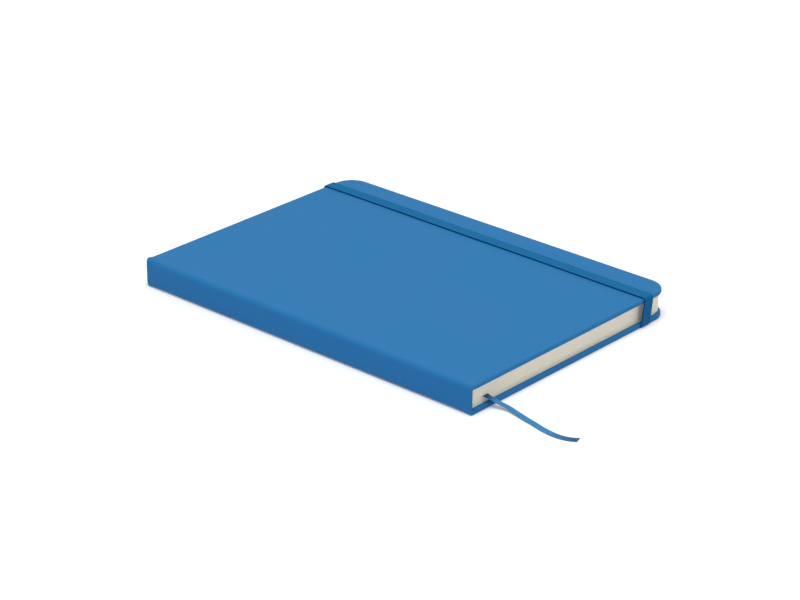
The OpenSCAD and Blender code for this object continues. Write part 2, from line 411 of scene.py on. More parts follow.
@dataclass(frozen=True)
class Mull:
    """Open cotton gauze glued over the backs of the leaves."""

    cotton: tuple = (0.80, 0.77, 0.68)
    glue: tuple = (0.56, 0.50, 0.38)
    thread: float = 0.0011
    relief: float = 0.00015

    def paint(self) -> bpy.types.Material:
        """Builds the material.

        Returns:
            The gauze, woven upright and along the spine.
        """
        p = Paint("mull", Slot.LINING)
        _, y, z = p.split(p.place())
        turns = math.tau / self.thread
        warp = p.math("SINE", y * turns)
        weft = p.math("SINE", z * turns)
        threads = p.math("MAXIMUM", warp, weft) * 0.5 + 0.5
        colour = p.blend(threads, self.glue, self.cotton)
        return p.finish(colour, 0.9 - 0.15 * (1 - threads), p.raise_by(threads, self.relief, 0.7))


@dataclass(frozen=True)
class WovenElastic:
    """Flat woven elastic: covered cords lengthwise, bound by fine picks across."""

    thread: tuple = (0.006, 0.168, 0.388)
    gap: tuple = (0.003, 0.110, 0.280)
    # painted shade: near-black blue for the band's thin side faces
    side_shade: tuple = (0.001, 0.045, 0.150)
    side_shade_from: float = 0.495
    # painted shade for the band's steep legs over the covers' edges
    steep_shade: tuple = (0.001, 0.105, 0.300)
    cords: int = 11
    pick: float = 0.00042
    fluff: float = 0.0004
    relief: float = 0.00006

    def paint(self) -> bpy.types.Material:
        """Builds the material.

        Returns:
            The elastic, whose mesh notes "along", "across" and "steep".
        """
        p = Paint("woven_elastic", Slot.ELASTIC)
        along, across = p.attribute("along"), p.attribute("across")
        cord = p.wave(across * (math.tau * self.cords))
        step = p.math("FLOOR", across * self.cords + 0.5) % 2.0
        picks = p.wave((along / self.pick + step * 0.5) * math.tau)
        weave = cord * 0.55 + picks * 0.45
        fuzz = p.noise(p.place(), self.fluff, detail=4.0)
        # Painted shade: the band's thin side faces, where across reaches its ends, are painted near-black
        # blue.
        side = p.math("GREATER_THAN", p.math("ABSOLUTE", across), self.side_shade_from)
        colour = p.blend(weave * 0.75 + fuzz * 0.25, self.gap, self.thread)
        # Painted shade: where the band runs steeply down over the covers' edges it turns a darker blue.
        colour = p.blend(p.attribute("steep") * (0.8 + 0.2 * weave), colour, self.steep_shade)
        colour = p.blend(side, colour, self.side_shade)
        normal = p.raise_by(weave, self.relief, 0.6)
        return p.finish(colour, 0.78 + 0.15 * fuzz, normal, Specular_IOR_Level=0.18)


@dataclass(frozen=True)
class SatinRibbon:
    """Narrow satin ribbon: bright lengthwise floats, fine picks and a firm edge."""

    bright: tuple = (0.038, 0.250, 0.535)
    shade: tuple = (0.014, 0.168, 0.395)
    # painted shade: near navy between the leaves, where the ribbon comes out and towards its end
    ribbon_shade: tuple = (0.001, 0.046, 0.150)
    threads: int = 26
    pick: float = 0.0003
    slip: float = 0.4
    edge_from: float = 0.46
    relief: float = 0.00003

    def paint(self) -> bpy.types.Material:
        """Builds the material.

        Returns:
            The ribbon, whose mesh notes "along", "across" and "faded".
        """
        p = Paint("satin_ribbon", Slot.RIBBON)
        along, across = p.attribute("along"), p.attribute("across")
        warp = p.wave(across * (math.tau * self.threads))
        slip = p.math("FLOOR", across * self.threads + 0.5) * self.slip
        floats = p.wave((along / self.pick + slip) * math.tau)
        edge = p.math("GREATER_THAN", p.math("ABSOLUTE", across), self.edge_from)
        weave = warp * 0.6 + floats * 0.4
        colour = p.blend(weave * 0.8 + 0.2 - edge * 0.25, self.shade, self.bright)
        # Painted shade: the ribbon turns near navy between the leaves, where it comes out and towards its
        # end, for the shadow there and the satin's sheen turning away.
        colour = p.blend(p.attribute("faded"), self.ribbon_shade, colour)
        normal = p.raise_by(weave, self.relief, 0.5)
        return p.finish(colour, 0.42 + 0.2 * (1 - weave), normal, Specular_IOR_Level=0.25,
                        Anisotropic=0.4)


def hang(name: str, data: bpy.types.ID | None) -> bpy.types.Object:
    """Puts an object for this data into the scene.

    Args:
        name: the object's name.
        data: its mesh, curve, lamp or camera.

    Returns:
        The object, at the origin.
    """
    made = bpy.data.objects.new(name, data)
    bpy.context.scene.collection.objects.link(made)
    return made


class Workshop:
    """Makes meshes, dresses them and keeps one material for each finish."""

    def __init__(self) -> None:
        """Builds every finish once."""
        self.finishes = {
            "leather": (SoftLeather().paint(), Slot.LEATHER),
            "leaves": (LeafEdges().paint(), Slot.PAGES),
            "endpaper": (FlatPaper().paint(), Slot.ENDPAPER),
            "greyboard": (Greyboard().paint(), Slot.BOARD),
            "mull": (Mull().paint(), Slot.LINING),
            "elastic": (WovenElastic().paint(), Slot.ELASTIC),
            "ribbon": (SatinRibbon().paint(), Slot.RIBBON),
        }

    def mesh(self, name: str, points: np.ndarray, faces: Sequence[Sequence[int]],
             numbers: dict[str, np.ndarray] | None = None, crisp: float = 50.0) -> bpy.types.Object:
        """Makes an object from points in millimetres.

        Args:
            name: the piece's name.
            points: its corners, one row each.
            faces: corner indices of each face.
            numbers: values for each point that a material reads, by name.
            crisp: the angle in degrees above which an edge stays sharp.

        Returns:
            The object, at the origin, with its faces pointing out.
        """
        if self._volume(points, faces) < 0:
            faces = [list(reversed(f)) for f in faces]
        mesh = bpy.data.meshes.new(name)
        mesh.from_pydata((points * MM).tolist(), [], [list(map(int, f)) for f in faces])
        for key, values in (numbers or {}).items():
            layer = mesh.attributes.new(key, "FLOAT", "POINT")
            layer.data.foreach_set("value", np.asarray(values, np.float32))
        mesh.shade_smooth()
        mesh.set_sharp_from_angle(angle=math.radians(crisp))
        mesh.validate()
        return hang(name, mesh)

    def _volume(self, points: np.ndarray, faces: Sequence[Sequence[int]]) -> float:
        """The signed volume inside a closed mesh.

        Args:
            points: its corners, one row each.
            faces: corner indices of each face.

        Returns:
            The volume, below 0 where the faces point inwards.
        """
        total = 0.0
        for f in faces:
            corners = points[list(f)]
            for b, c in zip(corners[1:-1], corners[2:]):
                total += float(np.dot(corners[0], np.cross(b, c)))
        return total / 6

    def dress(self, piece: bpy.types.Object, finish: str) -> bpy.types.Object:
        """Gives a piece its finish.

        Args:
            piece: the piece.
            finish: the finish's name in this workshop.

        Returns:
            The same piece.
        """
        material, slot = self.finishes[finish]
        piece.data.materials.clear()
        piece.data.materials.append(material)
        return piece

    def face_out(self, piece: bpy.types.Object) -> None:
        """Turns every face of a closed piece outwards.

        Args:
            piece: a plain mesh piece.
        """
        shell = bmesh.new()
        shell.from_mesh(piece.data)
        bmesh.ops.recalc_face_normals(shell, faces=shell.faces[:])
        shell.to_mesh(piece.data)
        shell.free()

    def settle(self, piece: bpy.types.Object, name: str) -> bpy.types.Object:
        """Turns an object with a node modifier into a plain closed piece, faces out.

        Args:
            piece: the object with its modifier.
            name: the new piece's name.

        Returns:
            The new piece, which stands in for the object.
        """
        graph = bpy.context.evaluated_depsgraph_get()
        mesh = bpy.data.meshes.new_from_object(piece.evaluated_get(graph), depsgraph=graph)
        bpy.data.objects.remove(piece)
        mesh.name = name
        made = hang(name, mesh)
        self.face_out(made)
        return made


def box_mm(node: str) -> tuple[Vector, Vector]:
    """The two corners of a frame node's box, in millimetres."""
    low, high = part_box(node)
    return low / MM, high / MM


@dataclass(frozen=True)
class Sizes:
    """The notebook's sizes, read from the frame's own nodes."""

    spine_x: float
    fore_x: float
    half_h: float
    top: float
    cover_t: float
    panel_x: float
    paper_t: float

    @classmethod
    def from_frame(cls) -> "Sizes":
        """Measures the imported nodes.

        Returns:
            The sizes that the classes below share.
        """
        skin_low, skin_high = box_mm("front_skin")
        paper_low, paper_high = box_mm("front_pastedown")
        return cls(
            spine_x=box_mm("spine_skin")[0].x,
            fore_x=skin_high.x,
            half_h=skin_high.y,
            top=skin_high.z,
            cover_t=skin_high.z - skin_low.z,
            panel_x=skin_low.x,
            paper_t=paper_high.z - paper_low.z,
        )


def spread(first: float, last: float, count: int) -> list[float]:
    """Evenly spaced values after first, up to and with last."""
    return [first + (last - first) * i / count for i in range(1, count + 1)]


def smooth(value: float) -> float:
    """A soft step from 0 to 1."""
    value = min(1.0, max(0.0, value))
    return value * value * (3 - 2 * value)


@dataclass
class Rounded:
    """A plan with two round fore-edge corners, as columns from the tail to the head and rows between."""

    fore_x: float
    half_h: float
    corner_r: float
    columns: list[float]
    rows: list[float]
    corner_steps: int = 15

    @property
    def centre_x(self) -> float:
        """Where the round corners begin."""
        return self.fore_x - self.corner_r

    def column_count(self) -> int:
        """Columns in all, with those in the round corners."""
        return len(self.columns) + self.corner_steps

    def edge_point(self, column: int, inset: float) -> tuple[float, float, float, float]:
        """The head end of a column, drawn in by an inset.

        Args:
            column: the column's index.
            inset: how far inside the plan's outline the point lies.

        Returns:
            x and y of the point, and x and y of the way out of the plan there.
        """
        if column < len(self.columns):
            return self.columns[column], self.half_h - inset, 0.0, 1.0
        turn = math.radians(90) * (column - len(self.columns) + 1) / self.corner_steps
        out_x, out_y = math.sin(turn), math.cos(turn)
        radius = self.corner_r - inset
        centre_y = self.half_h - self.corner_r
        return self.centre_x + radius * out_x, centre_y + radius * out_y, out_x, out_y


def heading(turn: float) -> tuple[float, float]:
    """The unit vector at an angle in degrees."""
    return math.cos(math.radians(turn)), math.sin(math.radians(turn))


@dataclass
class Sheet:
    """A thick sheet in the making: points of its outer surface, and those of its inner one below."""

    outer: list[tuple] = field(default_factory=list)
    inner: list[tuple] = field(default_factory=list)
    rub: list[float] = field(default_factory=list)
    steep: list[float] = field(default_factory=list)

    def put(self, place: tuple, out: tuple, thick: float, wear_and_shade: float) -> int:
        """Adds a point and the one below it.

        Args:
            place: the point on the outer surface.
            out: the unit vector out of the sheet there.
            thick: the sheet's thickness there.
            wear_and_shade: how much hands polish it, from 0 to 1.

        Returns:
            The point's index.
        """
        self.outer.append(place)
        self.inner.append(tuple(at - way * thick for at, way in zip(place, out)))
        self.rub.append(wear_and_shade)
        # steep is 1 on upright faces and 0 on flat ones; the leather and elastic paint shade by it
        self.steep.append(1 - abs(out[2]))
        return len(self.outer) - 1

    def notes(self) -> dict[str, list[float]]:
        """What the leather reads of each point, on both surfaces."""
        return {"rub": self.rub * 2, "steep": self.steep * 2}


@dataclass
class LeatherHalf:
    """One half of the skin: a cover, its hinge line and half of the spine, turned in at the edges."""

    side: Side
    sizes: Sizes
    shop: Workshop
    corner_r: float = 11.0
    spine_r: float = 2.5
    skin_t: float = 0.6
    edge_r: float = 0.8
    edge_share: float = 0.47
    wrap_gap: float = 0.08
    worn_within: float = 80.0
    turn_in_w: float = 14.0
    corner_turn_w: float = 9.5
    corner_reach: float = 12.0
    turn_in_t: float = 0.4
    folded_t: float = 0.3
    margin: float = 2.0
    margin_step: float = 0.05
    pleat_in: float = 1.4
    face_in: float = 1.7
    spine_t: float = 1.2
    joint_t: float = 2.15
    bend_x: float = -72.75
    ear_len: float = 7.0
    ear_w: float = 4.4
    ear_square: float = 0.6
    ear_out: float = 0.7
    ear_rise: tuple = (0.9, 0.3)
    fill_inset: float = 3.0
    arc_steps: int = 6
    pleat: float = 0.14
    bed_depth: float = 0.85
    bed_x: tuple = (50.65, 57.35)
    slot_y: tuple = (93.45, 94.55)
    wall_rise: float = 0.3
    spine_steps: int = 4
    round_steps: int = 20
    joint_steps: tuple = (-0.18, -0.06, 0.04, 0.4, 1.5)
    face_steps: tuple = (-64.0, -54.0, -40.0, -24.0, -8.0, 8.0, 24.0, 38.0, 46.0)
    beyond_bed_x: float = 60.5
    row_steps: tuple = (0.0, 16.0, 32.0, 48.0, 64.0, 80.0, 89.0)

    def __post_init__(self) -> None:
        """Lays out the columns and rows, and starts the sheet."""
        s = self.sizes
        self.places, self.on_spine = self._columns()
        self.plan = Rounded(s.fore_x, s.half_h, self.corner_r, [p[0] for p in self.places], self._rows())
        self.sheet = Sheet()

    def _columns(self) -> tuple[list[tuple], int]:
        """Places along the girth of the half skin, from the middle of the spine to the corners.

        Returns:
            (x, z, way out x, way out z) of each column, and how many lie on the spine.
        """
        s = self.sizes
        middle, round_z = s.top / 2, s.top - self.spine_r
        places = [(s.spine_x, z, -1.0, 0.0) for z in [middle, *spread(middle, round_z, self.spine_steps)]]
        for turn in spread(180, 90, self.round_steps):
            cos, sin = heading(turn)
            places.append((s.spine_x + self.spine_r * (1 + cos), s.top - self.spine_r * (1 - sin), cos, sin))
        on_spine = len(places)
        first, last = self.bed_x
        bed = [first - self.wall_rise, first, (first + last) / 2, last, last + self.wall_rise]
        flat = [s.panel_x + step for step in self.joint_steps]
        flat += [*self.face_steps, *bed, self.beyond_bed_x, s.fore_x - self.corner_r]
        places += [(x, s.top, 0.0, 1.0) for x in flat]
        return places, on_spine

    def _section(self, thick: float, recess: float, corner: float, on_panel: bool) -> list[tuple]:
        """The skin's path round an edge, from its turned-in end to the face.

        Args:
            thick: depth of the turned-in layer's bare side.
            recess: depth of the band's bed in the face, or 0.
            corner: 1 on a round corner, 0 away from it.
            on_panel: whether an endpaper covers the turned-in end.

        Returns:
            (inset, depth, angle of the way out, thickness) of each ring.
        """
        step = self.sizes.paper_t if on_panel else 0.0
        margin_t = self.skin_t if on_panel else self.folded_t
        layer_t = self.turn_in_t if on_panel else self.folded_t
        radius = min(self.edge_r, self.edge_share * (thick - recess))
        wrap_t = min(self.skin_t, radius - self.wrap_gap)
        end = self.turn_in_w + (self.corner_turn_w - self.turn_in_w) * corner
        rings = [(inset, thick - step, -90.0, layer_t)
                 for inset in (end, end * 0.6, self.margin + self.margin_step)]
        rings += [(inset, thick, -90.0, margin_t) for inset in (self.margin, self.pleat_in)]
        for first, start_t, end_t in ((-90, margin_t, wrap_t), (0, wrap_t, self.skin_t)):
            for i in range(self.arc_steps + 1):
                part = i / self.arc_steps
                turn = math.radians(first + 90 * part)
                way = math.sin(turn)
                depth = thick - radius * (1 + way) if first else recess + radius * (1 - way)
                rings.append((radius * (1 - math.cos(turn)), depth, math.degrees(turn),
                              start_t + (end_t - start_t) * part))
        return rings + [(inset, recess, 90.0, self.skin_t) for inset in (self.face_in, self.fill_inset)]

    def _rows(self) -> list[float]:
        """The rows' heights on a straight column, from tail to head."""
        half = [*self.row_steps, *self.slot_y]
        return [-y for y in reversed(half[1:])] + half

    def _in_bed(self, first_x: float, last_x: float) -> bool:
        """Whether a stretch of the girth lies in the back cover's bed for the band."""
        return self.side is Side.BACK and self.bed_x[0] - TINY < first_x and last_x < self.bed_x[1] + TINY

    def _in_slot(self, column: int, row: int) -> bool:
        """Whether a face of the grid is cut away for the elastic band.

        Args:
            column: the grid's column before the face.
            row: the grid's row before the face, where row 0 is the tail's last ring.

        Returns:
            True for the faces of the two slots.
        """
        rows = self.plan.rows
        if column + 1 >= len(self.places) or not 0 < row < len(rows):
            return False
        low, high = sorted((abs(rows[row - 1]), abs(rows[row])))
        in_y = self.slot_y[0] - TINY < low and high < self.slot_y[1] + TINY
        return in_y and self._in_bed(self.places[column][0], self.places[column + 1][0])

    def _under(self, column: int) -> tuple[float, float, float, bool]:
        """What the skin covers at a column.

        Args:
            column: the column's index.

        Returns:
            Thickness, depth of the band's bed, nearness to a round corner, and whether the cover's
            board is there.
        """
        s = self.sizes
        if column >= len(self.places):
            return s.cover_t, 0.0, 1.0, True
        x, _, _, out_z = self.places[column]
        if column < self.on_spine:
            return self.spine_t + (self.joint_t - self.spine_t) * smooth(out_z), 0.0, 0.0, False
        if x < s.panel_x:
            return self.joint_t, 0.0, 0.0, False
        near = smooth(1 - (self.plan.centre_x - x) / self.corner_reach)
        return s.cover_t, self.bed_depth if self._in_bed(x, x) else 0.0, near, True

    def _face(self, column: int, x: float) -> tuple[float, float, float, float]:
        """A column's x, z and way out; in a round corner, those of the flat face at x."""
        return self.places[column] if column < len(self.places) else (x, self.sizes.top, 0.0, 1.0)

    def _worn(self, turn: float) -> float:
        """1 on the round of an edge, where hands polish it, and 0 on the flat."""
        return 1.0 if abs(turn) < self.worn_within else 0.0

    def _ring_point(self, column: int, head: int, ring: tuple) -> int:
        """Adds one ring's point at an end of a column.

        Args:
            column: the column's index.
            head: 1 for its head end, -1 for its tail end.
            ring: the column's inset, depth, angle and thickness, as _section gives them.

        Returns:
            The point's index.
        """
        inset, depth, turn, thick = ring
        if column >= len(self.places) and inset == self.pleat_in:
            depth += self.pleat * (column % 2)
        x, y, out_x, out_y = self.plan.edge_point(column, inset)
        face_x, face_z, up_x, up_z = self._face(column, x)
        cos, sin = heading(turn)
        out = (out_x * cos + up_x * sin, head * out_y * cos, up_z * sin)
        place = (face_x - up_x * depth, head * y, face_z - up_z * depth)
        return self.sheet.put(place, out, thick, self._worn(turn))

    def _fore_point(self, share: float, ring: tuple) -> int:
        """Adds one ring's point on the straight stretch of the fore edge.

        Args:
            share: its place from tail (0) to head (1).
            ring: inset, depth, angle and thickness there.

        Returns:
            The point's index.
        """
        inset, depth, turn, thick = ring
        straight = self.sizes.half_h - self.corner_r
        cos, sin = heading(turn)
        place = (self.sizes.fore_x - inset, straight * (2 * share - 1), self.sizes.top - depth)
        return self.sheet.put(place, (cos, 0.0, sin), thick, self._worn(turn))

    def _grid(self, rim: Sequence[int], shares: Sequence[float]) -> list[list[int]]:
        """Adds the face's points inside its last ring.

        Args:
            rim: the last ring's points, from tail to head.
            shares: the rows' places from tail (0) to head (1).

        Returns:
            The points of each column, the rim's own at both ends.
        """
        last = self.plan.column_count() - 1
        grid = []
        for c in range(last):
            x, y, _, _ = self.plan.edge_point(c, self.fill_inset)
            face_x, face_z, up_x, up_z = self._face(c, x)
            sunk = self._under(c)[1]
            line = [rim[c]]
            for share, row_y in zip(shares, self.plan.rows):
                depth = sunk if abs(row_y) > self.slot_y[0] + TINY else 0.0
                place = (face_x, y * (2 * share - 1), face_z - depth)
                line.append(self.sheet.put(place, (up_x, 0.0, up_z), self.skin_t, 0.0))
            grid.append(line + [rim[-1 - c]])
        return grid + [list(rim[last:len(rim) - last])]

    def build(self) -> bpy.types.Object:
        """Makes the half skin as one closed, turned-in sheet.

        Returns:
            The dressed piece.
        """
        count = self.plan.column_count()
        edge_y = self.sizes.half_h - self.fill_inset
        shares = [(y + edge_y) / (2 * edge_y) for y in self.plan.rows]
        sections = [self._section(*self._under(c)) for c in range(count)]
        rings = []
        for at_ring in zip(*sections):
            ring = [self._ring_point(c, -1, at_ring[c]) for c in range(count)]
            ring += [self._fore_point(share, at_ring[-1]) for share in shares]
            ring += [self._ring_point(c, 1, at_ring[c]) for c in reversed(range(count))]
            rings.append(ring)
        grid = self._grid(rings[-1], shares)
        faces = [(a[i], a[i + 1], b[i + 1], b[i])
                 for a, b in zip(rings, rings[1:]) for i in range(len(a) - 1)]
        faces += [(grid[c][r], grid[c + 1][r], grid[c + 1][r + 1], grid[c][r + 1])
                  for c in range(count - 1) for r in range(len(shares) + 1) if not self._in_slot(c, r)]
        return self._close(faces)

    def _ears(self, points: np.ndarray) -> np.ndarray:
        """Squares the spine's round edge near head and tail, and lifts the front one's joint a little.

        The skin is turned in there and stands stiffer than along the rest of the spine.

        Args:
            points: one surface of the sheet, a row for each point.

        Returns:
            The same points with the two ends shaped.
        """
        s = self.sizes
        x, y, z = points.T
        near = np.clip((np.abs(y) - s.half_h + self.ear_len) / self.ear_len, 0, 1) ** 2
        to_spine = np.clip((s.spine_x - x) / self.spine_r + 1, 0, 1)
        to_face = np.clip((z - s.top) / self.spine_r + 1, 0, 1)
        square = self.ear_square * 4 * (to_spine * to_face) ** 2 * near
        rise = np.where(y > 0, *self.ear_rise) if self.side is Side.FRONT else 0.0
        lift = rise * np.clip((s.spine_x + self.ear_w - x) / (self.ear_w - 1), 0, 1) * to_face * near
        return np.column_stack([x - square * self.ear_out, y, z + square * self.ear_out + lift])

    def _close(self, faces: list[tuple]) -> bpy.types.Object:
        """Joins the sheet's two surfaces along their rims, and makes the dressed piece in place of the
        frame's skins.

        Args:
            faces: the outer surface's faces.

        Returns:
            The dressed piece.
        """
        outer, inner = (self._ears(np.array(surface)) for surface in (self.sheet.outer, self.sheet.inner))
        count = len(outer)
        edges = dict.fromkeys((a, b) for f in faces for a, b in zip(f, (*f[1:], f[0])))
        closed = faces + [tuple(count + i for i in reversed(f)) for f in faces]
        closed += [(b, a, count + a, count + b) for a, b in edges if (b, a) not in edges]
        points = np.concatenate([outer, inner])
        if self.side is Side.BACK:
            points[:, 2] = self.sizes.top - points[:, 2]
        name = "front_leather" if self.side is Side.FRONT else "back_leather"
        piece = self.shop.mesh(name, points, closed, self.sheet.notes())
        self.shop.dress(piece, "leather")
        if self.side is Side.FRONT:
            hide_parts("front_skin", "spine_skin")
        else:
            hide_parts("back_skin")
        self.side.bend(piece, self.bend_x, self.sizes.panel_x)
        LOG.info("%s: %d points", name, len(points))
        return piece


@dataclass
class Endpapers:
    """The two folded endpapers: their flat leaves are the frame's own, their folds are made here."""

    sizes: Sizes
    shop: Workshop
    fold_t: float = 0.14
    steps: int = 24

    def build(self) -> None:
        """Dresses the flat leaves and adds the fold that joins each pair across its hinge."""
        for node in ("front_pastedown", "back_pastedown", "front_flyleaf", "back_flyleaf"):
            self.shop.dress(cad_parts[node], "endpaper")
        for side in Side:
            self._fold(side)

    def _fold(self, side: Side) -> None:
        """One fold: a narrow sheet from the flyleaf's back edge to the pastedown's first edge.

        Args:
            side: the cover whose hinge it crosses.
        """
        word = side.name.lower()
        leaf_low, leaf_high = box_mm(f"{word}_flyleaf")
        paste_low, paste_high = box_mm(f"{word}_pastedown")
        start = (leaf_low.x, (leaf_low.z + leaf_high.z) / 2)
        end = (paste_low.x + 0.05, (paste_low.z + paste_high.z) / 2)
        half_y = leaf_high.y
        points, faces = [], []
        for i in range(self.steps + 1):
            part = i / self.steps
            x = start[0] + (end[0] - start[0]) * part
            z = start[1] + (end[1] - start[1]) * smooth(part)
            for up in (-0.5, 0.5):
                points += [(x, -half_y, z + up * self.fold_t), (x, half_y, z + up * self.fold_t)]
        for i in range(self.steps):
            a, b = 4 * i, 4 * i + 4
            faces += [(a, b, b + 1, a + 1), (a + 2, a + 3, b + 3, b + 2),
                      (a, a + 2, b + 2, b), (a + 1, b + 1, b + 3, a + 3)]
        last = 4 * self.steps
        faces += [(0, 1, 3, 2), (last, last + 2, last + 3, last + 1)]
        piece = self.shop.mesh(f"{word}_endpaper_fold", np.array(points), faces)
        self.shop.dress(piece, "endpaper")
        side.bend(piece, start[0], self.sizes.panel_x)
        LOG.info("%s: fold over the hinge", piece.name)


class GeometryTree(NodeMaker):
    """A geometry node tree with named inputs."""

    def __init__(self, name: str) -> None:
        """Starts a tree with a geometry input and output."""
        super().__init__(bpy.data.node_groups.new(name, "GeometryNodeTree"))
        self.tree.interface.new_socket("Geometry", in_out="OUTPUT", socket_type="NodeSocketGeometry")
        self.tree.interface.new_socket("Geometry", in_out="INPUT", socket_type="NodeSocketGeometry")
        self.named: dict[str, str] = {}
        self.entry = self.node("NodeGroupInput")

    def input(self, name: str, kind: str = "Float") -> Wire:
        """Adds a named input to the tree.

        Args:
            name: its name.
            kind: its socket's type.

        Returns:
            What the input gives.
        """
        socket = self.tree.interface.new_socket(name, in_out="INPUT", socket_type=f"NodeSocket{kind}")
        self.named[name] = socket.identifier
        return self.out(self.entry, name)

    def geometry(self) -> Wire:
        """The geometry that the modifier is given."""
        return self.out(self.entry, "Geometry")

    def rim(self, mesh: Wire) -> Wire:
        """The border of a flat mesh as a closed curve.

        Args:
            mesh: the flat mesh.

        Returns:
            The curve.
        """
        faces = self.wire("GeometryNodeInputMeshEdgeNeighbors")
        border = self.wire("FunctionNodeCompare", {"data_type": "INT", "operation": "EQUAL"},
                           {"A": faces, "B": 1})
        return self.wire("GeometryNodeMeshToCurve", inputs={"Mesh": mesh, "Selection": border})

    def move(self, geometry: Wire, **place: Wire) -> Wire:
        """Moves the points of a geometry by an Offset, or to a Position."""
        return self.wire("GeometryNodeSetPosition", inputs={"Geometry": geometry, **place})

    def note(self, geometry: Wire, name: str, value: Wire) -> Wire:
        """Keeps a number on each point under a name."""
        return self.wire("GeometryNodeStoreNamedAttribute", {"data_type": "FLOAT", "domain": "POINT"},
                         {"Geometry": geometry, "Name": name, "Value": value})

    def close(self, geometry: Wire, material: bpy.types.Material) -> None:
        """Ends the tree: plain mesh and the material.

        Args:
            geometry: what the tree has made.
            material: its finish.
        """
        real = self.wire("GeometryNodeRealizeInstances", inputs={"Geometry": geometry})
        painted = self.wire("GeometryNodeSetMaterial", inputs={"Geometry": real, "Material": material})
        self.node("NodeGroupOutput", inputs={"Geometry": painted})

    def run(self, piece: bpy.types.Object, values: dict[str, object]) -> None:
        """Puts the tree on an object as a modifier with these input values.

        Args:
            piece: the object.
            values: a value for each named input.
        """
        modifier = piece.modifiers.new(self.tree.name, "NODES")
        modifier.node_group = self.tree
        for name, value in values.items():
            modifier[self.named[name]] = value


